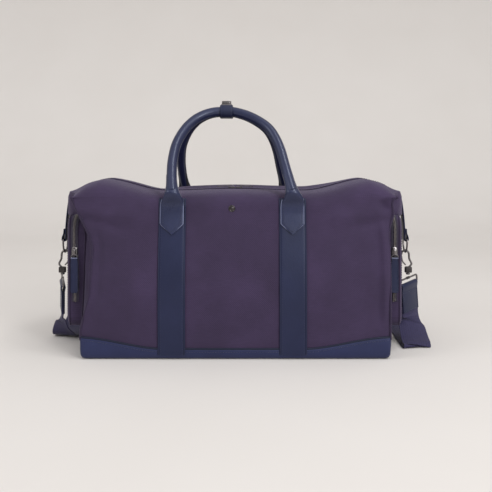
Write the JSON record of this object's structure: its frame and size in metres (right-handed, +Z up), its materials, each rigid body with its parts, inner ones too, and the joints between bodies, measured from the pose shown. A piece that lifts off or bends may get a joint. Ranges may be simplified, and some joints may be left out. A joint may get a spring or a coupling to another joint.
{
  "type": "weekender bag",
  "caption": "Soft canvas weekender bag on a leather base, with rolled handles, zipped mouth, end pockets and a clip-on shoulder strap.",
  "frame": {"origin": "middle of the underside, where the bag rests", "axes": "+X to the right end, -Y to the front, +Z up"},
  "size_m": [0.6681, 0.3103, 0.4249],
  "materials": {
    "canvas": "twill canvas, matt",
    "leather": "smooth, semi-gloss",
    "gunmetal": "dark nickel, polished",
    "zip_tape": "woven tape",
    "webbing": "ribbed webbing",
    "board": "plain",
    "lining": "plain weave"
  },
  "bodies": {
    "bag": {"base_panel": "leather", "base_board": "board", "lining": "lining", "front_panel": "canvas", "rear_panel": "canvas", "front_left_band": "leather", "front_left_chape": "leather", "front_right_band": "leather", "front_right_chape": "leather", "rear_left_band": "leather", "rear_left_chape": "leather", "rear_right_band": "leather", "rear_right_chape": "leather", "left_end_panel": "canvas", "left_top_end": "canvas", "left_pocket": "canvas", "left_pocket_zip": "zip_tape", "left_ring_tab": "leather", "right_end_panel": "canvas", "right_top_end": "canvas", "right_pocket": "canvas", "right_pocket_zip": "zip_tape", "right_ring_tab": "leather", "front_stud": "gunmetal", "shoulder_strap": "webbing"},
    "front_mouth": {"front_mouth_panel": "canvas", "front_zip_tape": "zip_tape"},
    "rear_mouth": {"rear_mouth_panel": "canvas", "rear_zip_tape": "zip_tape"},
    "front_handle": {"front_handle": "leather", "handle_wrap": "leather", "clasp_plate": "gunmetal"},
    "clasp_knob": {"clasp_knob": "gunmetal"},
    "rear_handle": {"rear_handle": "leather"},
    "main_zip_left_slider": {"main_zip_left_slider": "gunmetal"},
    "main_zip_left_pull": {"main_zip_left_pull": "gunmetal"},
    "main_zip_right_slider": {"main_zip_right_slider": "gunmetal"},
    "main_zip_right_pull": {"main_zip_right_pull": "gunmetal"},
    "left_pocket_slider": {"left_pocket_slider": "gunmetal"},
    "left_pocket_pull": {"left_pocket_pull": "leather"},
    "left_d_ring": {"left_d_ring": "gunmetal"},
    "left_hook": {"left_hook": "gunmetal", "left_swivel": "gunmetal", "left_strap_loop": "gunmetal", "left_strap_end": "leather"},
    "left_gate": {"left_hook_gate": "gunmetal"},
    "right_pocket_slider": {"right_pocket_slider": "gunmetal"},
    "right_pocket_pull": {"right_pocket_pull": "leather"},
    "right_d_ring": {"right_d_ring": "gunmetal"},
    "right_hook": {"right_hook": "gunmetal", "right_swivel": "gunmetal", "right_strap_loop": "gunmetal", "right_strap_end": "leather"},
    "right_gate": {"right_hook_gate": "gunmetal"}
  },
  "joints": [
    {"name": "front_mouth_open", "type": "hinge", "parent": "bag", "child": "front_mouth", "pos_m": [0, -0.104, 0.2588], "axis": [1, 0, 0], "range_deg": [0, 40], "deforming": ["front_zip_tape"]},
    {"name": "rear_mouth_open", "type": "hinge", "parent": "bag", "child": "rear_mouth", "pos_m": [0, 0.104, 0.2588], "axis": [-1, 0, 0], "range_deg": [0, 40], "deforming": ["rear_zip_tape"]},
    {"name": "main_zip_left_slide", "type": "slide", "parent": "bag", "child": "main_zip_left_slider", "axis": [-0.9993, 0, 0.0364], "range_m": [0, 0.151]},
    {"name": "main_zip_left_pull_lift", "type": "hinge", "parent": "main_zip_left_slider", "child": "main_zip_left_pull", "pos_m": [-0.006, 0, 0.2747], "axis": [0, 1, 0], "range_deg": [0, 100]},
    {"name": "main_zip_right_slide", "type": "slide", "parent": "bag", "child": "main_zip_right_slider", "axis": [0.9993, 0, 0.0364], "range_m": [0, 0.151]},
    {"name": "main_zip_right_pull_lift", "type": "hinge", "parent": "main_zip_right_slider", "child": "main_zip_right_pull", "pos_m": [0.006, 0, 0.2747], "axis": [0, -1, 0], "range_deg": [0, 100]},
    {"name": "front_handle_swing", "type": "hinge", "parent": "bag", "child": "front_handle", "pos_m": [0, -0.12, 0.262], "axis": [1, 0, 0], "range_deg": [0, 150], "deforming": ["handle_wrap"]},
    {"name": "rear_handle_swing", "type": "hinge", "parent": "bag", "child": "rear_handle", "pos_m": [0, 0.12, 0.262], "axis": [-1, 0, 0], "range_deg": [0, 150]},
    {"name": "clasp_turn", "type": "hinge", "parent": "front_handle", "child": "clasp_knob", "pos_m": [-0.0155, 0, 0.4195], "axis": [0, 0, 1], "range_deg": [0, 90]},
    {"name": "left_pocket_slide", "type": "slide", "parent": "bag", "child": "left_pocket_slider", "axis": [0, 0, 1], "range_m": [0, 0.028]},
    {"name": "left_pocket_pull_lift", "type": "hinge", "parent": "left_pocket_slider", "child": "left_pocket_pull", "pos_m": [-0.2655, -0.0836, 0.1585], "axis": [-1, 0, 0], "range_deg": [0, 90]},
    {"name": "left_ring_swing", "type": "hinge", "parent": "bag", "child": "left_d_ring", "pos_m": [-0.302, 0, 0.18], "axis": [0, 1, 0], "range_deg": [0, 80]},
    {"name": "left_hook_swing", "type": "hinge", "parent": "left_d_ring", "child": "left_hook", "pos_m": [-0.302, 0, 0.1565], "axis": [0, 1, 0], "range_deg": [0, 60]},
    {"name": "left_gate_push", "type": "hinge", "parent": "left_hook", "child": "left_gate", "pos_m": [-0.3028, 0, 0.1335], "axis": [0, -1, 0], "range_deg": [0, 25], "stiffness_Nm_per_rad": 0.01},
    {"name": "right_pocket_slide", "type": "slide", "parent": "bag", "child": "right_pocket_slider", "axis": [0, 0, 1], "range_m": [0, 0.028]},
    {"name": "right_pocket_pull_lift", "type": "hinge", "parent": "right_pocket_slider", "child": "right_pocket_pull", "pos_m": [0.2655, -0.0836, 0.1585], "axis": [-1, 0, 0], "range_deg": [0, 90]},
    {"name": "right_ring_swing", "type": "hinge", "parent": "bag", "child": "right_d_ring", "pos_m": [0.302, 0, 0.18], "axis": [0, -1, 0], "range_deg": [0, 80], "deforming": ["shoulder_strap"]},
    {"name": "right_hook_swing", "type": "hinge", "parent": "right_d_ring", "child": "right_hook", "pos_m": [0.302, 0, 0.1565], "axis": [0, -1, 0], "range_deg": [0, 60]},
    {"name": "right_gate_push", "type": "hinge", "parent": "right_hook", "child": "right_gate", "pos_m": [0.3028, 0, 0.1335], "axis": [0, 1, 0], "range_deg": [0, 25], "stiffness_Nm_per_rad": 0.01}
  ],
  "couplings": [
    {"joint": "rear_mouth_open", "follows": "front_mouth_open", "ratio": 1},
    {"joint": "main_zip_left_slide", "follows": "front_mouth_open", "m_per_rad": 0.2148},
    {"joint": "main_zip_right_slide", "follows": "front_mouth_open", "m_per_rad": 0.2148}
  ]
}
